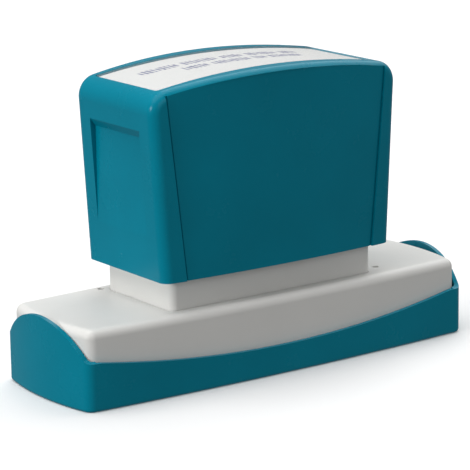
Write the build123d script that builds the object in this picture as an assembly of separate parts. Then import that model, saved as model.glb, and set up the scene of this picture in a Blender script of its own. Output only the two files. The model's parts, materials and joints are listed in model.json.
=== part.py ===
from build123d import *

import math
import os

# A pre-inked hand stamp with a sprung grip, standing in its dust cap. The grip carries the
# print unit: two posts run down through the neck to a tray with the ink pad and the rubber die.
# Pressing the grip pushes the die down to the paper, and two springs round the posts lift it again.
# Millimetres. +X runs along the stamp, +Z is up, and the origin is the middle of the cap's underside.

# ---- dust cap ----
CAP_LENGTH = 108.0  # corner to corner, before the ends bow out
CAP_WIDTH = 34.6
CAP_END_BOW = 2.2
CAP_SIDE_BOW = 1.8
CAP_CORNER = 2.4
CAP_WALL = 1.0
CAP_FLOOR = 1.4
CAP_FOOT_EDGE = 0.8  # rounding under the cap
CAP_RIM_BLEND = 3.0  # where the tab's arch runs into the side rim
CAP_CORNER_HEIGHT = 11.2
CAP_SIDE_HEIGHT = 7.0  # the rim's lowest point, halfway along a side
CAP_TAB_HEIGHT = 19.2  # the arched pull tab at each end
CAP_LEDGE = 1.4  # height of the ledges that carry the base, above the cap's floor
LEDGE_LENGTH = 7.0
LEDGE_SPACING = 40.0
RIB_WIDTH = 1.6  # ribs inside the tabs that centre the base
RIB_SPACING = 15.0

# ---- base housing ----
BASE_END_GAP = 0.3  # from the cap's wall, at the ends
BASE_SIDE_GAP = 0.2
BASE_WALL = 1.5
BASE_ROOF = 2.0
BASE_CORNER = 2.4
BASE_TOP_EDGE = 2.0

# ---- grip ----
GRIP_LENGTH_LOW = 64.9
GRIP_LENGTH_HIGH = 70.0  # at the shoulders
GRIP_WIDTH = 31.6  # at the shoulders, before the front and the back bow out
GRIP_SIDE_BOW = 2.1
GRIP_SHOULDER = 43.0  # shoulder above the grip's lower edge
GRIP_CROWN = 3.2  # crown above the shoulders
GRIP_SHOULDER_RADIUS = 5.0
GRIP_EDGE = 2.4
GRIP_WALL = 2.0
SCOOP_LENGTH_LOW = 53.4  # the finger scoop in the front and the back
SCOOP_LENGTH_HIGH = 62.4
SCOOP_EDGE_DEPTH = 0.35  # along its slanted sides
SCOOP_DEPTH = 0.7  # in its middle
SCOOP_TOP_MARGIN = 0.9  # from the crown's line down to where the scoop starts
GROOVE_WIDTH = 0.55  # along the scoop's slanted sides
GROOVE_DEPTH = 0.25
END_PANEL_WIDTH = 20.4  # the sunk panel in each end
END_PANEL_DROP = 8.5  # its upper edge below the shoulder
END_PANEL_DEPTH = 1.45  # at its upper edge; the floor is upright and runs out lower
END_PANEL_SLOPE = 1.9  # height over which the upper edge slopes in

# ---- press travel and guides ----
TRAVEL = 5.5
GRIP_STOP_GAP = 1.9  # left between the base's top and the grip when it is pressed down
NECK_LENGTH = 58.1
NECK_WALL_GAP = 0.45  # from the grip's front and back walls, at their nearest
NECK_WALL = 1.6
NECK_CORNER = 1.9
NECK_SIDE_GAP = 0.2  # running clearance inside the grip
NECK_OPENING_GAP = 0.15  # around the neck, in the base's roof
NECK_FLANGE = 4.3
FLANGE_THICKNESS = 1.8
RELEASE_RADIUS = 0.85  # release holes in the base's top, beside two of the neck's corners
RELEASE_RIGHT = (3.75, -3.15)  # beyond the neck's right end, and out from its front
RELEASE_LEFT = (1.35, 0.65)  # beyond the neck's left end, and out from its back
WEB_RISE = 3.9  # the neck's inner web above the base's top
WEB_THICKNESS = 2.0
WEB_WINDOW_RADIUS = 7.0
RAIL_WIDTH = 1.6
RAIL_SPACING = 14.0
RAIL_START = 1.2  # above the grip's lower edge
GUIDE_WIDTH = 1.6  # ribs inside the grip's front and back that run along the neck
GUIDE_PLACES = (-21.0, 21.0)
GUIDE_TOP_GAP = 0.5  # under the bridge
STOP_GAP = 0.1  # left at each end of the travel

# ---- bridge, posts and their washers ----
POST_RADIUS = 3.0
POST_RUNNING_GAP = 0.08
POST_INSET = 8.5  # from the neck's inner end wall to the post's axis
BRIDGE_THICKNESS = 2.0
BRIDGE_MARGIN = 0.7  # from the grip's side walls
BRIDGE_HEIGHT = 35.1  # its underside above the grip's lower edge
BRIDGE_WINDOW_RADIUS = 6.0
BRIDGE_CORNER = 2.0
TAB_WIDTH = 8.0
TAB_GAP = 0.2
SPIGOT_RADIUS = 2.0  # the post's upper end, in the bridge
WASHER_RADIUS = 5.9
WASHER_THICKNESS = 0.5
WASHER_GAP = 0.3
HOOK_REACH = 1.0
HOOK_HEIGHT = 1.2
STRUT_THICKNESS = 1.5
STRUT_PLACES = (-26.0, -9.0, 9.0, 26.0)

# ---- springs ----
SPRING_RADIUS = 5.05  # to the middle of the wire
SPRING_WIRE = 0.9
SPRING_TURNS = 9
COLLAR_RADIUS = 4.3
COLLAR_HEIGHT = 2.0

# ---- print unit ----
PRINT_REACH = 0.4  # how far the pressed die reaches below the base's lower edge
RELIEF_HEIGHT = 1.0
DIE_THICKNESS = 1.4
PAD_THICKNESS = 2.6
TRAY_PLATE = 1.5
TRAY_WALL = 1.2
TRAY_CORNER = 1.4
TRAY_GAP = 0.2  # above the tray, under the neck's flange
FRAME_WALL = 1.1
FRAME_GAP_END = 0.5  # from the base's walls
FRAME_GAP_SIDE = 0.5
FRAME_LIP = 0.7
FRAME_LIP_REACH = 1.9
CLAW_LENGTH = 5.0
CLAW_HEIGHT = 0.8
CLAW_REACH = 0.8
CLAW_PLACE = 44.0
FIT_GAP = 0.2  # between the tray, the die and their frame
PAD_GAP = 0.1
BOSS_RADIUS = 4.7
SOCKET_GAP = 0.05
SOCKET_FLOOR = 1.1
RELIEF_LENGTH = 92.0
RELIEF_WIDTH = 20.0
RELIEF_LINE = 0.9
RELIEF_ROWS = ((-4.8, (26.0, 14.0, 22.0)), (0.0, (18.0, 34.0, 12.0)), (4.8, (30.0, 10.0, 20.0)))
RELIEF_BAR = 1.9
RELIEF_SPACE = 3.0

# ---- screws, ink plug ----
POST_SCREW = {"head": 2.5, "height": 1.4, "shank": 1.2, "length": 9.0, "slot": 0.7}
NECK_SCREW = {"head": 1.6, "height": 0.9, "shank": 0.8, "length": 2.4, "slot": 0.5}
NECK_SCREW_SPACING = 14.0  # across the flange
SCREW_GAP = 0.05
HEAD_POCKET_GAP = 0.15
PLUG_RADIUS = 2.5
PLUG_HEAD_RADIUS = 3.8
PLUG_HEAD_HEIGHT = 1.2

# ---- index card and its window ----
INDEX_END_MARGIN = 3.7  # from the grip's ends to the pocket in its crown
INDEX_SIDE_MARGIN = 0.6  # from the grip's rounded edges
INDEX_CORNER = 0.8
WINDOW_SUNK = 0.05
WINDOW_THICKNESS = 0.4
CARD_THICKNESS = 0.25
INDEX_LAYER_GAP = 0.05
INDEX_EDGE_GAP = 0.2
CARD_EDGE_GAP = 0.35

# ---- levels that follow from the sizes above ----
base_bottom = CAP_FLOOR + CAP_LEDGE
relief_bottom = base_bottom + TRAVEL - PRINT_REACH
die_bottom = relief_bottom + RELIEF_HEIGHT
die_top = die_bottom + DIE_THICKNESS
pad_top = die_top + PAD_THICKNESS
tray_top = pad_top + TRAY_PLATE
flange_bottom = tray_top + TRAY_GAP
roof_under = flange_bottom + FLANGE_THICKNESS
base_top = roof_under + BASE_ROOF
grip_bottom = base_top + TRAVEL + GRIP_STOP_GAP
shoulder_level = grip_bottom + GRIP_SHOULDER
crown_level = shoulder_level + GRIP_CROWN
web_bottom = base_top + WEB_RISE
web_top = web_bottom + WEB_THICKNESS
bridge_bottom = grip_bottom + BRIDGE_HEIGHT
bridge_top = bridge_bottom + BRIDGE_THICKNESS
neck_top = bridge_bottom - TRAVEL - STOP_GAP
spring_seat = web_top + WASHER_THICKNESS
screw_head_top = pad_top + POST_SCREW["height"] + HEAD_POCKET_GAP
post_bottom = screw_head_top + SOCKET_FLOOR
pocket_depth = WINDOW_SUNK + WINDOW_THICKNESS + CARD_THICKNESS + 2 * INDEX_LAYER_GAP

# ---- plan sizes that follow ----
cap_inner_length = CAP_LENGTH - 2 * CAP_WALL
cap_inner_width = CAP_WIDTH - 2 * CAP_WALL
base_length = cap_inner_length - 2 * BASE_END_GAP
base_width = cap_inner_width - 2 * BASE_SIDE_GAP
grip_inner_length = GRIP_LENGTH_LOW - 2 * GRIP_WALL
grip_inner_width = GRIP_WIDTH - 2 * GRIP_WALL
neck_width = grip_inner_width - 2 * NECK_WALL_GAP
neck_inner_length = NECK_LENGTH - 2 * NECK_WALL
neck_inner_width = neck_width - 2 * NECK_WALL
post_spacing = neck_inner_length - 2 * POST_INSET
frame_length = base_length - 2 * BASE_WALL - 2 * FRAME_GAP_END
frame_width = base_width - 2 * BASE_WALL - 2 * FRAME_GAP_SIDE
tray_length = frame_length - 2 * FRAME_WALL - 2 * FIT_GAP
tray_width = frame_width - 2 * FRAME_WALL - 2 * FIT_GAP
bridge_length = NECK_LENGTH - 2 * FIT_GAP
bridge_width = grip_inner_width - 2 * BRIDGE_MARGIN
index_length = GRIP_LENGTH_HIGH - 2 * INDEX_END_MARGIN
index_width = GRIP_WIDTH - 2 * (GRIP_EDGE + INDEX_SIDE_MARGIN)
release_places = ((NECK_LENGTH / 2 + RELEASE_RIGHT[0], -neck_width / 2 - RELEASE_RIGHT[1]),
                  (-NECK_LENGTH / 2 - RELEASE_LEFT[0], neck_width / 2 + RELEASE_LEFT[1]))
neck_screw_row = (NECK_LENGTH + NECK_FLANGE) / 2
neck_screw_places = [(x, y) for x in (-neck_screw_row, neck_screw_row)
                     for y in (-NECK_SCREW_SPACING / 2, NECK_SCREW_SPACING / 2)]
neck_screw_head_top = flange_bottom + NECK_SCREW["height"]
neck_screw_end = neck_screw_head_top + NECK_SCREW["length"]


def block(length, width, low, high, x=0.0, y=0.0, corner=0.0):
    """An upright block between two levels, with rounded upright edges if corner is given."""
    outline = RectangleRounded(length, width, corner) if corner else Rectangle(length, width)
    return Pos(x, y, low) * extrude(outline, high - low)


def rod(radius, low, high, x=0.0, y=0.0):
    """An upright cylinder between two levels."""
    return Pos(x, y, low) * extrude(Circle(radius), high - low)


def bowed_outline(length, width, end_bow, side_bow, corner):
    """A rectangle whose sides bow out, with rounded corners."""
    x, y = length / 2, width / 2
    edges = [
        ThreePointArc((-x, -y), (0, -y - side_bow), (x, -y)),
        ThreePointArc((x, -y), (x + end_bow, 0), (x, y)),
        ThreePointArc((x, y), (0, y + side_bow), (-x, y)),
        ThreePointArc((-x, y), (-x - end_bow, 0), (-x, -y)),
    ]
    outline = make_face(edges)
    return fillet(outline.vertices(), corner)


def bowed_block(length, width, corner, low, high):
    """A block with the cap's and the base's bowed plan."""
    outline = bowed_outline(length, width, CAP_END_BOW, CAP_SIDE_BOW, corner)
    return Pos(0, 0, low) * extrude(outline, high - low)


def side_bowed(width, bow, reach):
    """A plan for the grip, cut straight at +-reach, whose long sides are arcs that bow out.

    Each arc is width / 2 out at the shoulders' ends and bow further out in the middle."""
    radius = ((GRIP_LENGTH_HIGH / 2) ** 2 + bow**2) / (2 * bow)
    middle = width / 2 + bow
    edge = middle - radius + math.sqrt(radius**2 - reach**2)
    front = ThreePointArc((-reach, -edge), (0, -middle), (reach, -edge))
    back = ThreePointArc((reach, edge), (0, middle), (-reach, edge))
    right, left = Line((reach, -edge), (reach, edge)), Line((-reach, edge), (-reach, -edge))
    return make_face([front, right, back, left])


def side_bowed_block(width, bow, reach, low, high):
    """An upright block on that plan."""
    return Pos(0, 0, low) * extrude(side_bowed(width, bow, reach), high - low)


def edges_at(shape, level):
    """The edges that lie flat at one level."""
    return [e for e in shape.edges() if abs(e.bounding_box().min.Z - level) < 1e-4
            and abs(e.bounding_box().max.Z - level) < 1e-4]


def above_arc(half, reach, end_height, middle_height, ceiling):
    """The face above a line with an arc in it from -half to half, in its own plane."""
    arc = ThreePointArc((-half, end_height), (0, middle_height), (half, end_height))
    right = Polyline((half, end_height), (reach, end_height), (reach, ceiling), (0, ceiling))
    left = Polyline((0, ceiling), (-reach, ceiling), (-reach, end_height), (-half, end_height))
    return make_face([arc, *right.edges(), *left.edges()])


def screw(sizes, x, y, head_bottom):
    """A slotted screw that stands head down."""
    head_top = head_bottom + sizes["height"]
    body = rod(sizes["head"], head_bottom, head_top, x, y)
    body += rod(sizes["shank"], head_top, head_top + sizes["length"], x, y)
    slot_top = head_bottom + sizes["height"] / 2
    return body - block(2 * sizes["head"], sizes["slot"], head_bottom - 1, slot_top, x, y)


def dust_cap():
    """The cap under the stamp: low sides, and an arched pull tab at each end."""
    ceiling = CAP_TAB_HEIGHT + 2
    corner_start = CAP_LENGTH / 2 - CAP_CORNER
    shell = bowed_block(CAP_LENGTH, CAP_WIDTH, CAP_CORNER, 0, CAP_TAB_HEIGHT)
    shell = fillet(edges_at(shell, 0), CAP_FOOT_EDGE)
    inner_corner = CAP_CORNER - CAP_WALL
    shell -= bowed_block(cap_inner_length, cap_inner_width, inner_corner, CAP_FLOOR, ceiling)
    side_cut = above_arc(corner_start - 1, corner_start, CAP_CORNER_HEIGHT, CAP_SIDE_HEIGHT, ceiling)
    shell -= extrude(Plane.XZ * side_cut, CAP_WIDTH, both=True)
    tab_cut = above_arc(cap_inner_width / 2, CAP_WIDTH, CAP_CORNER_HEIGHT, CAP_TAB_HEIGHT, ceiling)
    arch_ends = [v for v in tab_cut.vertices() if abs(v.X) < CAP_WIDTH / 2 and v.Y < CAP_TAB_HEIGHT]
    tab_cut = fillet(arch_ends, CAP_RIM_BLEND)
    shell -= extrude(Plane.YZ * tab_cut, CAP_LENGTH, both=True)
    ledge_inner = base_width / 2 - BASE_WALL + FIT_GAP
    ledge_outer = CAP_WIDTH / 2 - CAP_WALL / 2
    for x in (-LEDGE_SPACING, 0, LEDGE_SPACING):
        for side in (-1, 1):
            middle = side * (ledge_inner + ledge_outer) / 2
            shell += block(LEDGE_LENGTH, ledge_outer - ledge_inner, CAP_FLOOR / 2, base_bottom, x, middle)
    rib_inner = cap_inner_length / 2 + CAP_END_BOW - BASE_END_GAP + FIT_GAP
    rib_outer = CAP_LENGTH / 2 + CAP_END_BOW / 2 - CAP_WALL / 2
    for end in (-1, 1):
        for y in (-RIB_SPACING / 2, RIB_SPACING / 2):
            middle = end * (rib_inner + rib_outer) / 2
            shell += block(rib_outer - rib_inner, RIB_WIDTH, CAP_FLOOR / 2, CAP_CORNER_HEIGHT, middle, y)
    return shell


def base_housing():
    """The light housing over the print unit, with the opening that the neck stands in."""
    shell = bowed_block(base_length, base_width, BASE_CORNER, base_bottom, base_top)
    shell = fillet(edges_at(shell, base_top), BASE_TOP_EDGE)
    inner_length = base_length - 2 * BASE_WALL
    inner_width = base_width - 2 * BASE_WALL
    shell -= bowed_block(inner_length, inner_width, BASE_CORNER - BASE_WALL, base_bottom - 1, roof_under)
    opening_length = NECK_LENGTH + 2 * NECK_OPENING_GAP
    opening_width = neck_width + 2 * NECK_OPENING_GAP
    corner = NECK_CORNER + NECK_OPENING_GAP
    shell -= block(opening_length, opening_width, roof_under - 1, base_top + 1, corner=corner)
    for x, y in release_places:
        shell -= rod(RELEASE_RADIUS, roof_under - 1, base_top + 1, x, y)
    for x, y in neck_screw_places:
        shell -= rod(NECK_SCREW["shank"] + SCREW_GAP, roof_under - 1, neck_screw_end + SCREW_GAP, x, y)
    return shell


def guide_neck():
    """The sleeve between base and grip: it guides the grip outside and the posts in its web."""
    neck = block(NECK_LENGTH, neck_width, flange_bottom, neck_top, corner=NECK_CORNER)
    flange_width = neck_width - 2 * NECK_CORNER
    neck += block(NECK_LENGTH + 2 * NECK_FLANGE, flange_width, flange_bottom, roof_under)
    inner_corner = NECK_CORNER - NECK_WALL
    neck -= block(neck_inner_length, neck_inner_width, flange_bottom - 1, web_bottom, corner=inner_corner)
    neck -= block(neck_inner_length, neck_inner_width, web_top, neck_top + 1, corner=inner_corner)
    neck -= rod(WEB_WINDOW_RADIUS, web_bottom - 1, web_top + 1)
    for x, y in neck_screw_places:
        neck -= rod(NECK_SCREW["head"] + HEAD_POCKET_GAP, flange_bottom - 1, neck_screw_head_top, x, y)
        neck -= rod(NECK_SCREW["shank"] + SCREW_GAP, flange_bottom, roof_under + 1, x, y)
    rail_reach = (grip_inner_length - NECK_LENGTH) / 2 - NECK_SIDE_GAP
    for end in (-1, 1):
        neck -= rod(POST_RADIUS + POST_RUNNING_GAP, web_bottom - 1, web_top + 1, end * post_spacing / 2)
        for y in (-RAIL_SPACING / 2, RAIL_SPACING / 2):
            middle = end * (NECK_LENGTH / 2 + rail_reach / 2)
            neck += block(rail_reach, RAIL_WIDTH, grip_bottom + RAIL_START, neck_top, middle, y)
    return neck


def crown_face(drop, floor):
    """The side-on face under the grip's crown, lowered by drop, down to a level."""
    half, shoulder = GRIP_LENGTH_HIGH / 2, shoulder_level - drop
    arc = ThreePointArc((-half, shoulder), (0, crown_level - drop), (half, shoulder))
    frame = Polyline((half, shoulder), (half, floor), (-half, floor), (-half, shoulder))
    return Plane.XZ * make_face([arc, *frame.edges()])


def crown_slice(length, width, corner, upper_drop, lower_drop):
    """A curved sheet that follows the crown, between two depths below it."""
    plan = block(length, width, grip_bottom, crown_level + 1, corner=corner)
    floor = grip_bottom - 1
    upper = extrude(crown_face(upper_drop, floor), GRIP_WIDTH, both=True)
    lower = extrude(crown_face(lower_drop, floor), GRIP_WIDTH, both=True)
    return plan & (upper - lower)


def scoop_sides(inset):
    """A prism across the grip between the scoop's slanted sides, moved in by inset."""
    slant = (SCOOP_LENGTH_HIGH - SCOOP_LENGTH_LOW) / 2 / GRIP_SHOULDER
    low, high = grip_bottom - 1, crown_level
    half_low = SCOOP_LENGTH_LOW / 2 - slant - inset
    half_high = half_low + slant * (high - low)
    sides = Polyline((-half_low, low), (half_low, low), (half_high, high), (-half_high, high), close=True)
    return extrude(Plane.XZ * make_face(sides.edges()), GRIP_WIDTH, both=True)


def finger_scoops():
    """What both scoops take away: a shallow floor that bows out less, and a fine groove at its sides."""
    reach, low = GRIP_LENGTH_HIGH / 2, grip_bottom - 1
    below_crown = extrude(crown_face(SCOOP_TOP_MARGIN, low), GRIP_WIDTH, both=True)
    bow = GRIP_SIDE_BOW - (SCOOP_DEPTH - SCOOP_EDGE_DEPTH)
    floor = side_bowed_block(GRIP_WIDTH - 2 * SCOOP_EDGE_DEPTH, bow, reach, low, crown_level)
    groove_width = GRIP_WIDTH - 2 * (SCOOP_EDGE_DEPTH + GROOVE_DEPTH)
    groove_floor = side_bowed_block(groove_width, bow, reach, low, crown_level)
    grooves = scoop_sides(0) - scoop_sides(GROOVE_WIDTH)
    return below_crown & (scoop_sides(0) - floor + (grooves - groove_floor))


def end_panel():
    """What the sunk panel takes from the right end: its top slopes in, and its floor is upright."""
    top, bottom = shoulder_level - END_PANEL_DROP, grip_bottom - 1
    slant = (GRIP_LENGTH_HIGH - GRIP_LENGTH_LOW) / 2 / GRIP_SHOULDER
    floor = GRIP_LENGTH_LOW / 2 + slant * (top - grip_bottom) - END_PANEL_DEPTH
    outer = floor + 2 * END_PANEL_DEPTH
    upper = ((outer, top + END_PANEL_SLOPE), (floor, top - END_PANEL_SLOPE))
    side = make_face(Polyline((floor, bottom), (outer, bottom), *upper, close=True).edges())
    return extrude(Plane.XZ * side, END_PANEL_WIDTH / 2, both=True)


def grip_shell():
    """The moulded grip: tapered ends, bowed front and back, and a crown with the index pocket."""
    low, high = GRIP_LENGTH_LOW / 2, GRIP_LENGTH_HIGH / 2
    left, right = (-high, shoulder_level), (high, shoulder_level)
    arc = ThreePointArc(right, (0, crown_level), left)
    sides = Polyline(left, (-low, grip_bottom), (low, grip_bottom), right)
    outline = make_face([arc, *sides.edges()])
    shoulders = [v for v in outline.vertices() if v.Y > grip_bottom + 1]
    outline = fillet(shoulders, GRIP_SHOULDER_RADIUS)
    reach = high + GRIP_EDGE
    shell = extrude(Plane.XZ * outline, GRIP_WIDTH, both=True)
    shell &= side_bowed_block(GRIP_WIDTH, GRIP_SIDE_BOW, reach, grip_bottom, crown_level + 1)
    faces = [f for f in shell.faces() if abs(f.center().Y) > GRIP_WIDTH / 2]
    rims = [e for f in faces for e in f.edges() if e.bounding_box().max.Z > grip_bottom + 1e-3]
    shell = fillet(rims, GRIP_EDGE)
    shell -= finger_scoops()
    panel = end_panel()
    shell -= panel
    shell -= mirror(panel, Plane.YZ)
    shell -= crown_slice(index_length, index_width, INDEX_CORNER, -1, pocket_depth)
    ceiling = extrude(crown_face(pocket_depth + GRIP_WALL, grip_bottom - 1), GRIP_WIDTH, both=True)
    plan = side_bowed(grip_inner_width, GRIP_SIDE_BOW, grip_inner_length / 2)
    plan = fillet(plan.vertices(), NECK_CORNER)
    cavity = Pos(0, 0, grip_bottom - 1) * extrude(plan, crown_level - grip_bottom) & ceiling
    shell -= cavity
    ribs = Part()
    for x in STRUT_PLACES:
        ribs += block(STRUT_THICKNESS, GRIP_WIDTH, bridge_top, crown_level, x)
    for x in GUIDE_PLACES:
        ribs += block(GUIDE_WIDTH, GRIP_WIDTH, grip_bottom + RAIL_START, bridge_bottom - GUIDE_TOP_GAP, x)
    ribs -= block(GRIP_LENGTH_LOW, neck_width + 2 * NECK_SIDE_GAP, grip_bottom, bridge_top)
    hook_length = HOOK_REACH + GRIP_WALL / 2
    for end in (-1, 1):
        middle = end * (grip_inner_length / 2 - HOOK_REACH + hook_length / 2)
        hook = block(hook_length, TAB_WIDTH, bridge_bottom - HOOK_HEIGHT, bridge_bottom, middle)
        shell += hook
    return shell + (ribs & cavity)


def bridge_plate():
    """The bridge under the grip's ceiling that carries both posts, with a tab over each hook."""
    part = block(bridge_length, bridge_width, bridge_bottom, bridge_top, corner=BRIDGE_CORNER)
    part += block(grip_inner_length - 2 * TAB_GAP, TAB_WIDTH, bridge_bottom, bridge_top)
    part -= rod(BRIDGE_WINDOW_RADIUS, bridge_bottom - 1, bridge_top + 1)
    for end in (-1, 1):
        x = end * post_spacing / 2
        part += rod(COLLAR_RADIUS, bridge_bottom - COLLAR_HEIGHT, bridge_bottom, x)
        part -= rod(POST_RADIUS + SOCKET_GAP, bridge_bottom - COLLAR_HEIGHT - 1, bridge_bottom, x)
        part -= rod(SPIGOT_RADIUS + SOCKET_GAP, bridge_bottom - 1, bridge_top + 1, x)
    return part


def post(end):
    """A post: its spigot is in the bridge, and its foot takes the screw that holds the tray."""
    x = end * post_spacing / 2
    shaft = rod(POST_RADIUS, post_bottom, bridge_bottom, x)
    shaft += rod(SPIGOT_RADIUS, bridge_bottom, bridge_top, x)
    hole_top = screw_head_top + POST_SCREW["length"] + 1
    return shaft - rod(POST_SCREW["shank"] + SCREW_GAP, post_bottom - 1, hole_top, x)


def spring_washers():
    """The two thin washers that the springs stand on."""
    washers = []
    for end in (-1, 1):
        x = end * post_spacing / 2
        washer = rod(WASHER_RADIUS, web_top, spring_seat, x)
        washers.append(washer - rod(POST_RADIUS + WASHER_GAP, web_top - 1, spring_seat + 1, x))
    return washers


def spring(end):
    """A return spring round one post, from its washer up to the bridge, at its rest length."""
    low, high = spring_seat + SPRING_WIRE / 2, bridge_bottom - SPRING_WIRE / 2
    height = high - low
    path = Helix(pitch=height / SPRING_TURNS, height=height, radius=SPRING_RADIUS)
    wire = sweep(Plane(origin=path @ 0, z_dir=path % 0) * Circle(SPRING_WIRE / 2), path)
    return Pos(end * post_spacing / 2, 0, low) * wire


def print_tray():
    """The tray over the ink pad, with a boss round the foot of each post and an ink port."""
    tray = block(tray_length, tray_width, die_top, tray_top, corner=TRAY_CORNER)
    well_length, well_width = tray_length - 2 * TRAY_WALL, tray_width - 2 * TRAY_WALL
    tray -= block(well_length, well_width, die_top - 1, pad_top)
    for end in (-1, 1):
        x = end * post_spacing / 2
        tray += rod(BOSS_RADIUS, tray_top, web_bottom - STOP_GAP, x)
        tray -= rod(POST_SCREW["head"] + HEAD_POCKET_GAP, pad_top - 1, screw_head_top, x)
        tray -= rod(POST_SCREW["shank"] + SCREW_GAP, screw_head_top - 1, post_bottom, x)
        tray -= rod(POST_RADIUS + SOCKET_GAP, post_bottom, web_bottom + 1, x)
    return tray - rod(PLUG_RADIUS + SOCKET_GAP, pad_top - 1, tray_top + 1)


def print_frame():
    """The frame that clips the die to the tray: a lip under the die and claws over the tray."""
    low = die_bottom - FRAME_LIP
    frame = block(frame_length, frame_width, low, tray_top, corner=TRAY_CORNER + FRAME_WALL)
    inner_length, inner_width = frame_length - 2 * FRAME_WALL, frame_width - 2 * FRAME_WALL
    frame -= block(inner_length, inner_width, die_bottom, tray_top + 1, corner=TRAY_CORNER)
    lip_length, lip_width = inner_length - 2 * FRAME_LIP_REACH, inner_width - 2 * FRAME_LIP_REACH
    frame -= block(lip_length, lip_width, low - 1, die_bottom + 1)
    claw_width = FRAME_WALL + CLAW_REACH
    for x in (-CLAW_PLACE, CLAW_PLACE):
        for side in (-1, 1):
            middle = side * (frame_width - claw_width) / 2
            frame += block(CLAW_LENGTH, claw_width, tray_top, tray_top + CLAW_HEIGHT, x, middle)
    return frame


def ink_pad():
    """The felt pad that holds the ink."""
    gap = 2 * (TRAY_WALL + PAD_GAP)
    return block(tray_length - gap, tray_width - gap, die_top, pad_top)


def stamp_die():
    """The rubber die: a plate with a raised border and rows of plain bars."""
    die = block(tray_length - FIT_GAP, tray_width - FIT_GAP, die_bottom, die_top, corner=TRAY_CORNER)
    border = block(RELIEF_LENGTH, RELIEF_WIDTH, relief_bottom, die_bottom)
    inner = 2 * RELIEF_LINE
    die += border - block(RELIEF_LENGTH - inner, RELIEF_WIDTH - inner, relief_bottom - 1, die_bottom)
    for y, bars in RELIEF_ROWS:
        x = -(sum(bars) + RELIEF_SPACE * (len(bars) - 1)) / 2
        for bar in bars:
            die += block(bar, RELIEF_BAR, relief_bottom, die_bottom, x + bar / 2, y)
            x += bar + RELIEF_SPACE
    return die


def tray_screws():
    """The two screws that hold the tray to the posts, heads down in their pockets."""
    head_bottom = screw_head_top - POST_SCREW["height"]
    return [screw(POST_SCREW, end * post_spacing / 2, 0, head_bottom) for end in (-1, 1)]


def neck_screws():
    """The four screws that hold the neck's flange up under the base's roof."""
    return [screw(NECK_SCREW, x, y, flange_bottom) for x, y in neck_screw_places]


def ink_plug():
    """The plug in the tray's ink port."""
    plug = rod(PLUG_HEAD_RADIUS, tray_top, tray_top + PLUG_HEAD_HEIGHT)
    plug = fillet(edges_at(plug, tray_top + PLUG_HEAD_HEIGHT), PLUG_HEAD_HEIGHT / 3)
    return plug + rod(PLUG_RADIUS, pad_top, tray_top)


def index_window():
    """The clear cover over the index card."""
    length, width = index_length - 2 * INDEX_EDGE_GAP, index_width - 2 * INDEX_EDGE_GAP
    return crown_slice(length, width, INDEX_CORNER, WINDOW_SUNK, WINDOW_SUNK + WINDOW_THICKNESS)


def index_card():
    """The paper card that shows what the stamp prints."""
    length, width = index_length - 2 * CARD_EDGE_GAP, index_width - 2 * CARD_EDGE_GAP
    upper = WINDOW_SUNK + WINDOW_THICKNESS + INDEX_LAYER_GAP
    return crown_slice(length, width, INDEX_CORNER, upper, upper + CARD_THICKNESS)


pieces = {
    "dust_cap": dust_cap(),
    "base_housing": base_housing(),
    "guide_neck": guide_neck(),
    "grip_shell": grip_shell(),
    "bridge_plate": bridge_plate(),
    "post_left": post(-1),
    "post_right": post(1),
    "spring_washers": Compound(children=spring_washers()),
    "spring_left": spring(-1),
    "spring_right": spring(1),
    "print_tray": print_tray(),
    "print_frame": print_frame(),
    "ink_pad": ink_pad(),
    "stamp_die": stamp_die(),
    "tray_screws": Compound(children=tray_screws()),
    "neck_screws": Compound(children=neck_screws()),
    "ink_plug": ink_plug(),
    "index_window": index_window(),
    "index_card": index_card(),
}

os.makedirs("parts", exist_ok=True)
for name, shape in pieces.items():
    export_step(shape, f"parts/{name}.step")
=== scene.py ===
import json
import math

import bmesh
import bpy
from mathutils import Matrix, Vector
from mathutils.bvhtree import BVHTree


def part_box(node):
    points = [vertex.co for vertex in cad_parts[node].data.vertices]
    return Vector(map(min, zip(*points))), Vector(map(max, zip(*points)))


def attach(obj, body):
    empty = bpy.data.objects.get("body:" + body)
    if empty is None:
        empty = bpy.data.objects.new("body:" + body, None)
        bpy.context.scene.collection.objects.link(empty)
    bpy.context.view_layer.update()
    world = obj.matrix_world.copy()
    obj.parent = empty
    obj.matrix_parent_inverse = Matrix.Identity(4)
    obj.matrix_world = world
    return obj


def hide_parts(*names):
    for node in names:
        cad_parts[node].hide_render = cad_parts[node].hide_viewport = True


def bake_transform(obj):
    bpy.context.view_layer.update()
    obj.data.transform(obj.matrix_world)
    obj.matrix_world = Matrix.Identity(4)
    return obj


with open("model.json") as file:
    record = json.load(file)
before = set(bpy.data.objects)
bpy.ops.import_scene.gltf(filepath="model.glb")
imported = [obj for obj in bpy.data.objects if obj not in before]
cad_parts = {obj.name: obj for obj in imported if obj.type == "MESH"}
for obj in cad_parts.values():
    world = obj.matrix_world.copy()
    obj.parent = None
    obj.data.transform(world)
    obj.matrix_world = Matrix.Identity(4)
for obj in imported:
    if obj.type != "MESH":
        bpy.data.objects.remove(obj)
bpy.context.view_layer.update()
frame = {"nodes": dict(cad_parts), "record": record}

bl_info = {
    "name": "Pre-inked hand stamp",
    "version": (1, 0, 0),
    "blender": (4, 5, 0),
    "location": "View3D > Sidebar > Stamp",
    "description": "Finishes the stamp's moulded shells, index card, springs and print unit",
    "category": "Object",
}

MM = 0.001
NODES = frame["nodes"]


# ---------------------------------------------------------------- settings

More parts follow.
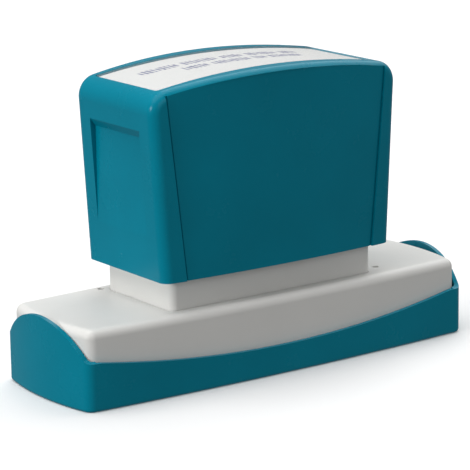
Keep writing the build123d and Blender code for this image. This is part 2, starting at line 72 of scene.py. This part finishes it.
class StampFinish(bpy.types.PropertyGroup):
    """Colours and surface of the stamp's materials."""

    shell: bpy.props.FloatVectorProperty(
        name="Shell", description="Colour of the grip and the dust cap",
        default=(0.0, 0.208, 0.3), subtype="COLOR", min=0, max=1)
    base: bpy.props.FloatVectorProperty(
        name="Base", description="Colour of the base housing and the neck",
        default=(0.75, 0.745, 0.72), subtype="COLOR", min=0, max=1)
    inner: bpy.props.FloatVectorProperty(
        name="Inner parts", description="Colour of the bridge and the print tray",
        default=(0.05, 0.052, 0.058), subtype="COLOR", min=0, max=1)
    rubber: bpy.props.FloatVectorProperty(
        name="Die", description="Colour of the rubber die",
        default=(0.15, 0.035, 0.045), subtype="COLOR", min=0, max=1)
    ink: bpy.props.FloatVectorProperty(
        name="Ink", description="Colour of the ink on the card, the pad and the die",
        default=(0.03, 0.04, 0.19), subtype="COLOR", min=0, max=1)
    card: bpy.props.FloatVectorProperty(
        name="Card", description="Colour of the index card",
        default=(0.68, 0.68, 0.67), subtype="COLOR", min=0, max=1)
    gloss: bpy.props.FloatProperty(
        name="Shell roughness", description="Roughness of the glossy shells",
        default=0.24, min=0, max=1, subtype="FACTOR")


class StampSizes(bpy.types.PropertyGroup):
    """Sizes of the pieces that are modelled here."""

    spring_turns: bpy.props.IntProperty(
        name="Spring turns", description="Open turns of each return spring", default=8, min=3, max=30)
    wire: bpy.props.FloatProperty(
        name="Spring wire", description="Diameter of the spring wire",
        default=0.9 * MM, subtype="DISTANCE", unit="LENGTH", precision=5)
    print_height: bpy.props.FloatProperty(
        name="Print height", description="Height of the marks in a printed row",
        default=3.2 * MM, subtype="DISTANCE", unit="LENGTH", precision=5)
    ink_thickness: bpy.props.FloatProperty(
        name="Ink thickness", description="Thickness of the printed marks",
        default=0.03 * MM, subtype="DISTANCE", unit="LENGTH", precision=6)
    pad_crown: bpy.props.FloatProperty(
        name="Pad crown", description="How far the ink pad swells in its middle",
        default=0.12 * MM, subtype="DISTANCE", unit="LENGTH", precision=6)


class StampView(bpy.types.PropertyGroup):
    """Where the camera stands."""

    azimuth: bpy.props.FloatProperty(
        name="Azimuth", description="Angle round the stamp from its front",
        default=math.radians(-35.45), subtype="ANGLE", unit="ROTATION")
    elevation: bpy.props.FloatProperty(
        name="Elevation", description="Angle above the floor",
        default=math.radians(13.59), subtype="ANGLE", unit="ROTATION")
    roll: bpy.props.FloatProperty(
        name="Roll", description="Turn of the camera about its own line of sight",
        default=math.radians(-0.84), subtype="ANGLE", unit="ROTATION")
    distance: bpy.props.FloatProperty(
        name="Distance", description="Distance from the stamp's middle",
        default=585.53 * MM, subtype="DISTANCE", unit="LENGTH")
    aim: bpy.props.FloatVectorProperty(
        name="Aim", description="Point that the camera is set out from",
        default=(0, 0, 33 * MM), subtype="TRANSLATION", unit="LENGTH")
    slide: bpy.props.FloatVectorProperty(
        name="Slide", description="How far the camera is moved to its right and up",
        default=(-1.12 * MM, -3.51 * MM), size=2, subtype="TRANSLATION", unit="LENGTH")
    lens: bpy.props.FloatProperty(
        name="Lens", description="Focal length in millimetres", default=189.86, min=20, max=400)


# ---------------------------------------------------------------- materials

def node(tree, kind, inputs=None, **settings):
    """One shader node with its settings and the constants on its sockets."""
    made = tree.nodes.new(kind)
    for key, value in settings.items():
        setattr(made, key, value)
    for key, value in (inputs or {}).items():
        made.inputs[key].default_value = value
    return made


def new_material(name):
    """A material with a Principled shader; returns it with its tree and shader."""
    material = bpy.data.materials.new(name)
    material.use_nodes = True
    tree = material.node_tree
    shader = next(n for n in tree.nodes if n.type == "BSDF_PRINCIPLED")
    return material, tree, shader


def stretched(tree, scale):
    """Object coordinates through a Mapping node, as the vector that patterns read."""
    coords = node(tree, "ShaderNodeTexCoord")
    mapping = node(tree, "ShaderNodeMapping", {"Scale": scale})
    tree.links.new(coords.outputs["Object"], mapping.inputs["Vector"])
    return mapping.outputs["Vector"]


def noise(tree, vector, scale, detail=3.0, roughness=0.55):
    """The value of a noise pattern."""
    made = node(tree, "ShaderNodeTexNoise", {"Scale": scale, "Detail": detail, "Roughness": roughness})
    tree.links.new(vector, made.inputs["Vector"])
    return made.outputs["Fac"]


def ranged(tree, value, low, high, start=0.3, end=0.7):
    """A value from start..end, spread over low..high."""
    made = node(tree, "ShaderNodeMapRange",
                {"From Min": start, "From Max": end, "To Min": low, "To Max": high})
    tree.links.new(value, made.inputs["Value"])
    return made.outputs["Result"]


def mixed(tree, factor, first, second):
    """A mix of two colours by a factor socket."""
    made = node(tree, "ShaderNodeMix", data_type="RGBA")
    made.inputs["A"].default_value = (*first, 1)
    made.inputs["B"].default_value = (*second, 1)
    tree.links.new(factor, made.inputs["Factor"])
    return made.outputs["Result"]


def bumped(tree, shader, height, distance, strength=1.0):
    """Puts a height pattern on the shader as a bump, over any bump that is there already."""
    made = node(tree, "ShaderNodeBump", {"Strength": strength, "Distance": distance})
    tree.links.new(height, made.inputs["Height"])
    if shader.inputs["Normal"].is_linked:
        tree.links.new(shader.inputs["Normal"].links[0].from_socket, made.inputs["Normal"])
    tree.links.new(made.outputs["Normal"], shader.inputs["Normal"])


def shade(colour, factor):
    """A colour made lighter or darker."""
    return tuple(min(1.0, c * factor) for c in colour)


def moulded_plastic(name, colour, roughness, shine=0.3, grain=0.004 * MM, spread=0.06):
    """Injection-moulded plastic: faint flow clouds, handled patches and a fine mould texture."""
    material, tree, shader = new_material(name)
    vector = stretched(tree, (1, 1, 1))
    clouds = noise(tree, vector, 38, 4)
    dark, pale = shade(colour, 1 - spread), shade(colour, 1 + spread)
    tree.links.new(mixed(tree, ranged(tree, clouds, 0, 1), dark, pale), shader.inputs["Base Color"])
    handled = ranged(tree, noise(tree, vector, 90, 5, 0.6), roughness * 0.85, roughness * 1.25)
    tree.links.new(handled, shader.inputs["Roughness"])
    bumped(tree, shader, noise(tree, vector, 160, 2), 0.012 * MM, 0.6)
    bumped(tree, shader, noise(tree, vector, 4500, 2), grain, 0.7)
    shader.inputs["IOR"].default_value = 1.49
    shader.inputs["Specular IOR Level"].default_value = shine
    return material


def clear_plastic(name):
    """The index cover: clear, with faint scuffs that catch the light."""
    material, tree, shader = new_material(name)
    vector = stretched(tree, (40, 600, 40))
    scuffs = noise(tree, vector, 6, 5, 0.7)
    tree.links.new(ranged(tree, scuffs, 0.06, 0.2, 0.45, 0.75), shader.inputs["Roughness"])
    bumped(tree, shader, scuffs, 0.002 * MM, 0.4)
    shader.inputs["Base Color"].default_value = (0.93, 0.96, 0.96, 1)
    shader.inputs["Alpha"].default_value = 0.1
    shader.inputs["IOR"].default_value = 1.49
    return material


def card_paper(name, colour):
    """Smooth white card with a faint fibre."""
    material, tree, shader = new_material(name)
    vector = stretched(tree, (1, 1, 1))
    fibre = noise(tree, vector, 2600, 6, 0.7)
    colours = mixed(tree, ranged(tree, fibre, 0, 1), shade(colour, 0.96), shade(colour, 1.02))
    tree.links.new(colours, shader.inputs["Base Color"])
    bumped(tree, shader, fibre, 0.01 * MM, 0.5)
    shader.inputs["Roughness"].default_value = 0.62
    return material


def printed_ink(name, colour, card):
    """Thin printed ink: it covers unevenly, so the card shows through."""
    material, tree, shader = new_material(name)
    vector = stretched(tree, (1, 1, 1))
    cover = noise(tree, vector, 1400, 5, 0.7)
    pale = tuple((ink + paper) / 2 for ink, paper in zip(colour, card))
    colours = mixed(tree, ranged(tree, cover, 0, 1, 0.4, 0.62), colour, pale)
    tree.links.new(colours, shader.inputs["Base Color"])
    shader.inputs["Roughness"].default_value = 0.7
    return material


def drawn_steel(name, colour, roughness, along):
    """Metal with fine lines along one direction and a slightly uneven shine."""
    material, tree, shader = new_material(name)
    lines = noise(tree, stretched(tree, along), 30, 4, 0.7)
    patches = noise(tree, stretched(tree, (1, 1, 1)), 180, 3)
    colours = mixed(tree, ranged(tree, patches, 0, 1), shade(colour, 0.8), shade(colour, 1.1))
    tree.links.new(colours, shader.inputs["Base Color"])
    tree.links.new(ranged(tree, lines, roughness * 0.7, roughness * 1.4), shader.inputs["Roughness"])
    bumped(tree, shader, lines, 0.006 * MM, 0.6)
    shader.inputs["Metallic"].default_value = 1.0
    return material


def soft_rubber(name, colour, stain):
    """Rubber with a matt skin, stained with ink in patches."""
    material, tree, shader = new_material(name)
    vector = stretched(tree, (1, 1, 1))
    stains = noise(tree, vector, 120, 5, 0.65)
    colours = mixed(tree, ranged(tree, stains, 0, 1, 0.42, 0.6), colour, stain)
    tree.links.new(colours, shader.inputs["Base Color"])
    tree.links.new(ranged(tree, stains, 0.62, 0.42), shader.inputs["Roughness"])
    bumped(tree, shader, noise(tree, vector, 2200, 3), 0.02 * MM, 0.6)
    return material


def ink_felt(name, colour):
    """Felt soaked with ink: matted fibres and darker wet patches."""
    material, tree, shader = new_material(name)
    vector = stretched(tree, (1, 1, 1))
    fibres = noise(tree, vector, 1800, 8, 0.75)
    colours = mixed(tree, ranged(tree, fibres, 0, 1), shade(colour, 0.5), shade(colour, 1.8))
    tree.links.new(colours, shader.inputs["Base Color"])
    bumped(tree, shader, fibres, 0.12 * MM, 0.8)
    shader.inputs["Roughness"].default_value = 0.85
    shader.inputs["Sheen Weight"].default_value = 0.3
    return material


def floor_paint(name):
    """The stage's pale floor."""
    material, tree, shader = new_material(name)
    patches = noise(tree, stretched(tree, (1, 1, 1)), 4, 2)
    colours = mixed(tree, ranged(tree, patches, 0, 1), (0.92, 0.92, 0.92), (0.94, 0.94, 0.94))
    tree.links.new(colours, shader.inputs["Base Color"])
    shader.inputs["Roughness"].default_value = 0.8
    shader.inputs["Specular IOR Level"].default_value = 0.2
    return material


FINISHES = {}


def finish_of(slot):
    """The Blender material for one of the record's slots, made once."""
    if slot not in FINISHES:
        colours = bpy.context.scene.stamp_finish
        shell, base, inner = tuple(colours.shell), tuple(colours.base), tuple(colours.inner)
        makers = {
            "teal_plastic": lambda: moulded_plastic("glossy_shell", shell, colours.gloss, shine=0.12),
            "grey_plastic": lambda: moulded_plastic("satin_base", base, 0.36, spread=0.025),
            "inner_plastic": lambda: moulded_plastic("dark_moulding", inner, 0.5, grain=0.02 * MM),
            "frame_plastic": lambda: moulded_plastic("frame_moulding", shade(base, 0.85), 0.45),
            "post_steel": lambda: drawn_steel("turned_steel", (0.6, 0.6, 0.61), 0.25, (1, 1, 60)),
            "spring_steel": lambda: drawn_steel("spring_wire", (0.5, 0.5, 0.52), 0.3, (8, 8, 8)),
            "screw_steel": lambda: drawn_steel("zinc_plate", (0.68, 0.67, 0.62), 0.32, (20, 20, 2)),
            "ink_felt": lambda: ink_felt("ink_felt", tuple(colours.ink)),
            "plug_rubber": lambda: soft_rubber("plug_rubber", (0.03, 0.03, 0.033), (0.05, 0.05, 0.055)),
            "die_rubber": lambda: soft_rubber("die_rubber", tuple(colours.rubber), tuple(colours.ink)),
            "clear_plastic": lambda: clear_plastic("clear_cover"),
            "card_paper": lambda: card_paper("index_paper", tuple(colours.card)),
        }
        FINISHES[slot] = makers[slot]()
    return FINISHES[slot]


def slot_of(name):
    """The record's material slot of a CAD node."""
    return next(s["material_slot"] for s in frame["record"]["subparts"] if s["node"] == name)


# ---------------------------------------------------------------- mesh helpers

def add_piece(name, bm, material, smooth_angle=math.radians(35)):
    """A finished bmesh as an object at the origin, smooth except at its sharp edges."""
    mesh = bpy.data.meshes.new(name)
    bm.to_mesh(mesh)
    bm.free()
    mesh.polygons.foreach_set("use_smooth", [True] * len(mesh.polygons))
    mesh.set_sharp_from_angle(angle=smooth_angle)
    mesh.materials.append(material)
    piece = bpy.data.objects.new(name, mesh)
    bpy.context.scene.collection.objects.link(piece)
    return piece


def paint_node(name):
    """Gives a CAD node the finish of its slot."""
    piece = NODES[name]
    piece.material_slots[0].material = finish_of(slot_of(name))
    return piece


# ---------------------------------------------------------------- pieces

class STAMP_OT_shells(bpy.types.Operator):
    """Finish the moulded shells: dust cap, base housing, neck and grip"""
    bl_idname = "stamp.shells"
    bl_label = "Moulded shells"

    def execute(self, context):
        for name in ("dust_cap", "base_housing", "guide_neck", "grip_shell"):
            paint_node(name)
        return {"FINISHED"}


class STAMP_OT_index(bpy.types.Operator):
    """Finish the index window and its card, and print rows of plain marks on the card"""
    bl_idname = "stamp.index"
    bl_label = "Index card and window"

    def execute(self, context):
        paint_node("index_window")
        card = paint_node("index_card")
        sizes, colours = context.scene.stamp_sizes, context.scene.stamp_finish
        marks = card_print(card, sizes.print_height, sizes.ink_thickness)
        ink = printed_ink("printed_ink", tuple(colours.ink), tuple(colours.card))
        piece = add_piece("index_print", marks, ink)
        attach(piece, "grip")
        return {"FINISHED"}


# each row's start and end along the card and its place across it, in mm, and the marks in each word
PRINT_ROWS = (
    (-24.0, 22.0, 4.6, (9, 8, 5, 7, 4)),
    (-15.0, 20.0, -0.4, (6, 9, 3, 8)),
)
SHORT_MARK = 0.75  # height of a short mark, as a share of a tall one
NARROW_MARK = 0.45  # width of the narrowest mark, as a share of the pitch
MARK_STEP = 0.12  # what each of the two wider marks adds to that


def card_print(card, height, thickness):
    """Rows of plain upright marks in words, laid on the card's curve like small illegible print."""
    surface = bmesh.new()
    surface.from_mesh(card.data)
    tree = BVHTree.FromBMesh(surface)
    surface.free()
    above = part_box("index_card")[1].z + height
    bm = bmesh.new()
    for start, end, across, words in PRINT_ROWS:
        pitch = (end - start) * MM / (sum(words) + len(words))
        place = 0
        for word in words:
            for mark in range(word):
                x = start * MM + (place + mark) * pitch
                spot, normal, _, _ = tree.ray_cast((x, across * MM, above), (0, 0, -1))
                tall = height * (SHORT_MARK if (mark * 3 + word) % 4 == 1 else 1)
                wide = pitch * (NARROW_MARK + MARK_STEP * ((mark + word) % 3))
                turn = Matrix.Rotation(math.atan2(normal.x, normal.z), 4, "Y")
                size = Matrix.Diagonal((wide, tall, thickness, 1))
                bmesh.ops.create_cube(bm, size=1, matrix=Matrix.Translation(spot) @ turn @ size)
            place += word + 1
    return bm


class STAMP_OT_springs(bpy.types.Operator):
    """Wind the two return springs, with closed ends, between the neck and the bridge"""
    bl_idname = "stamp.springs"
    bl_label = "Return springs"

    def execute(self, context):
        sizes = context.scene.stamp_sizes
        for side in ("left", "right"):
            low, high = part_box(f"spring_{side}")
            bm = wound_spring(low, high, sizes.wire / 2, sizes.spring_turns)
            piece = add_piece(f"coil_spring_{side}", bm, finish_of("spring_steel"), math.radians(60))
            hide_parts(f"spring_{side}")
            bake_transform(piece)
        return {"FINISHED"}


TURN_STEPS = 24  # straight steps in each turn of a spring
WIRE_SIDES = 10


def wound_spring(low, high, wire, turns):
    """A compression spring of a wire radius in its CAD box: a closed turn, open turns, a closed turn."""
    middle = (low + high) / 2
    radius = (high.x - low.x) / 2 - wire
    closed_rise = 2 * wire
    open_rise = high.z - low.z - 2 * wire - 2 * closed_rise
    bm = bmesh.new()
    place = Matrix.Translation((middle.x + radius, middle.y, low.z + wire))
    upright = Matrix.Rotation(math.pi / 2, 4, "X")
    bmesh.ops.create_circle(bm, segments=WIRE_SIDES, radius=wire, matrix=place @ upright)
    ring = bm.edges[:]
    first = ring[:]
    for rise, count in ((closed_rise, 1), (open_rise, turns), (closed_rise, 1)):
        total = TURN_STEPS * count
        spun = bmesh.ops.spin(
            bm, geom=ring, cent=(middle.x, middle.y, 0), axis=(0, 0, 1),
            dvec=(0, 0, rise / total), angle=2 * math.pi * count, steps=total, use_merge=False)
        ring = [e for e in spun["geom_last"] if isinstance(e, bmesh.types.BMEdge)]
    bmesh.ops.contextual_create(bm, geom=first)
    bmesh.ops.contextual_create(bm, geom=ring)
    bmesh.ops.recalc_face_normals(bm, faces=bm.faces[:])
    return bm


class STAMP_OT_print_unit(bpy.types.Operator):
    """Finish the print tray, its frame, the ink pad, the plug and the rubber die"""
    bl_idname = "stamp.print_unit"
    bl_label = "Print unit"

    def execute(self, context):
        for name in ("print_tray", "print_frame", "ink_plug", "stamp_die"):
            paint_node(name)
        pad = add_piece("felt_pad", felt_pad(context.scene.stamp_sizes.pad_crown), finish_of("ink_felt"))
        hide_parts("ink_pad")
        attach(pad, "grip")
        return {"FINISHED"}


PAD_EDGE_SHARE = 1 / 5  # rounding of the pad's edges, as a share of its thickness
PAD_CUTS = 12


def felt_pad(crown):
    """The ink pad: felt with soft edges, crowned towards its middle within the tray's space."""
    low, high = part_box("ink_pad")
    middle, size = (low + high) / 2, high - low
    bm = bmesh.new()
    bmesh.ops.create_cube(bm, size=1, matrix=Matrix.Translation(middle) @ Matrix.Diagonal((*size, 1)))
    bmesh.ops.bevel(bm, geom=bm.edges[:], offset=size.z * PAD_EDGE_SHARE, segments=3, profile=0.5,
                    affect="EDGES", material=-1)
    long_edges = [e for e in bm.edges if e.calc_length() > size.z]
    bmesh.ops.subdivide_edges(bm, edges=long_edges, cuts=PAD_CUTS, use_grid_fill=True)
    for vert in bm.verts:
        along = 2 * (vert.co.x - middle.x) / size.x
        across = 2 * (vert.co.y - middle.y) / size.y
        fall = 1 - (1 - along ** 2) * (1 - across ** 2)
        vert.co.z -= math.copysign(crown * fall, vert.co.z - middle.z)
    bmesh.ops.recalc_face_normals(bm, faces=bm.faces[:])
    return bm


class STAMP_OT_fittings(bpy.types.Operator):
    """Finish the bridge, posts, washers and screws"""
    bl_idname = "stamp.fittings"
    bl_label = "Bridge, posts and screws"

    def execute(self, context):
        for name in ("bridge_plate", "post_left", "post_right", "spring_washers", "tray_screws",
                     "neck_screws"):
            paint_node(name)
        return {"FINISHED"}


# ---------------------------------------------------------------- stage

# each light's name, strength, the side it shines from, and how wide it looks in degrees
STUDIO_LIGHTS = (
    ("left", 2.3, (-0.97, 0.04, 0.22), 20),
    ("top", 1.75, (-0.33, 0.12, 0.93), 60),
    ("right", 1.4, (0.6, 0.3, 0.74), 60),
    ("front", 0.48, (-0.05, -0.9, 0.35), 40),
)
SKY_STRENGTH = 0.25


def add_light(name, strength, side, spread):
    """A wide soft light that shines on the stamp from one side."""
    light = bpy.data.lights.new(name, "SUN")
    light.energy = strength
    light.angle = math.radians(spread)
    lamp = bpy.data.objects.new(name, light)
    lamp.location = side
    lamp.rotation_euler = (-Vector(side)).to_track_quat("-Z", "Y").to_euler()
    bpy.context.scene.collection.objects.link(lamp)


SENSOR_WIDTH = 36  # in millimetres
CLIP = (0.01, 50)  # nearest and furthest distance that the camera sees, in metres


def add_camera(view):
    """The camera, set out from its aim by two angles, a distance and a small slide."""
    a, e = view.azimuth, view.elevation
    back = Vector((math.sin(a) * math.cos(e), -math.cos(a) * math.cos(e), math.sin(e)))
    right = Vector((math.cos(a), math.sin(a), 0))
    up = back.cross(right)
    rolled_right = math.cos(view.roll) * right + math.sin(view.roll) * up
    rolled_up = math.cos(view.roll) * up - math.sin(view.roll) * right
    place = Vector(view.aim) + back * view.distance
    place += rolled_right * view.slide[0]
    place += rolled_up * view.slide[1]
    data = bpy.data.cameras.new("camera")
    data.lens = view.lens
    data.sensor_width = SENSOR_WIDTH
    data.clip_start, data.clip_end = CLIP
    camera = bpy.data.objects.new("camera", data)
    camera.matrix_world = Matrix.Translation(place) @ Matrix(
        (rolled_right, rolled_up, back)).transposed().to_4x4()
    bpy.context.scene.collection.objects.link(camera)
    bpy.context.scene.camera = camera


# radius and height of the floor's profile, from its middle to its rim, in metres
FLOOR_PROFILE = ((0, 0), (2, 0), (2.6, 0.08), (2.9, 0.25), (3, 0.6))


def floor_bowl():
    """A round floor whose rim rises all round, so that low views still look at it."""
    bm = bmesh.new()
    profile = [bm.verts.new((radius, 0, height)) for radius, height in FLOOR_PROFILE]
    edges = [bm.edges.new(pair) for pair in zip(profile, profile[1:])]
    bmesh.ops.spin(bm, geom=profile + edges, cent=(0, 0, 0), axis=(0, 0, 1),
                   angle=2 * math.pi, steps=96, use_merge=True)
    bmesh.ops.remove_doubles(bm, verts=bm.verts[:], dist=0.001)
    bmesh.ops.recalc_face_normals(bm, faces=bm.faces[:])
    if sum(face.normal.z for face in bm.faces) < 0:
        bmesh.ops.reverse_faces(bm, faces=bm.faces[:])
    return bm


class STAMP_OT_stage(bpy.types.Operator):
    """Set the pale floor, the soft studio light and the camera"""
    bl_idname = "stamp.stage"
    bl_label = "Stage"

    def execute(self, context):
        scene = context.scene
        floor = add_piece("floor", floor_bowl(), floor_paint("floor_paint"), math.radians(60))
        # hidden from bounced and mirrored light, so the floor doesn't lighten the stamp's lower faces
        floor.visible_diffuse = False
        floor.visible_glossy = False
        world = bpy.data.worlds.new("studio")
        world.use_nodes = True
        sky = next(n for n in world.node_tree.nodes if n.type == "BACKGROUND")
        sky.inputs["Color"].default_value = (1, 1, 1, 1)
        sky.inputs["Strength"].default_value = SKY_STRENGTH
        scene.world = world
        scene.view_settings.view_transform = "Standard"
        for light in STUDIO_LIGHTS:
            add_light(*light)
        add_camera(scene.stamp_view)
        return {"FINISHED"}


# ---------------------------------------------------------------- add-on

OPERATORS = (STAMP_OT_shells, STAMP_OT_index, STAMP_OT_springs, STAMP_OT_print_unit,
             STAMP_OT_fittings, STAMP_OT_stage)


class STAMP_PT_build(bpy.types.Panel):
    """Builds the stamp's pieces one after another"""
    bl_idname = "STAMP_PT_build"
    bl_label = "Hand stamp"
    bl_space_type = "VIEW_3D"
    bl_region_type = "UI"
    bl_category = "Stamp"

    def draw(self, context):
        column = self.layout.column(align=True)
        for group in (context.scene.stamp_finish, context.scene.stamp_sizes, context.scene.stamp_view):
            for key in group.__annotations__:
                column.prop(group, key)
            column.separator()
        for operator in OPERATORS:
            column.operator(operator.bl_idname)


GROUPS = (("stamp_finish", StampFinish), ("stamp_sizes", StampSizes), ("stamp_view", StampView))


def register():
    """Registers the settings, the operators and the panel."""
    for cls in (*(g for _, g in GROUPS), *OPERATORS, STAMP_PT_build):
        bpy.utils.register_class(cls)
    for key, group in GROUPS:
        setattr(bpy.types.Scene, key, bpy.props.PointerProperty(type=group))


def unregister():
    """Takes the settings, the operators and the panel away again."""
    for key, _ in GROUPS:
        delattr(bpy.types.Scene, key)
    for cls in reversed((*(g for _, g in GROUPS), *OPERATORS, STAMP_PT_build)):
        bpy.utils.unregister_class(cls)


def main():
    """Builds every piece."""
    register()
    bpy.ops.stamp.shells()
    bpy.ops.stamp.index()
    bpy.ops.stamp.springs()
    bpy.ops.stamp.print_unit()
    bpy.ops.stamp.fittings()
    bpy.ops.stamp.stage()


if __name__ == "__main__":
    main()
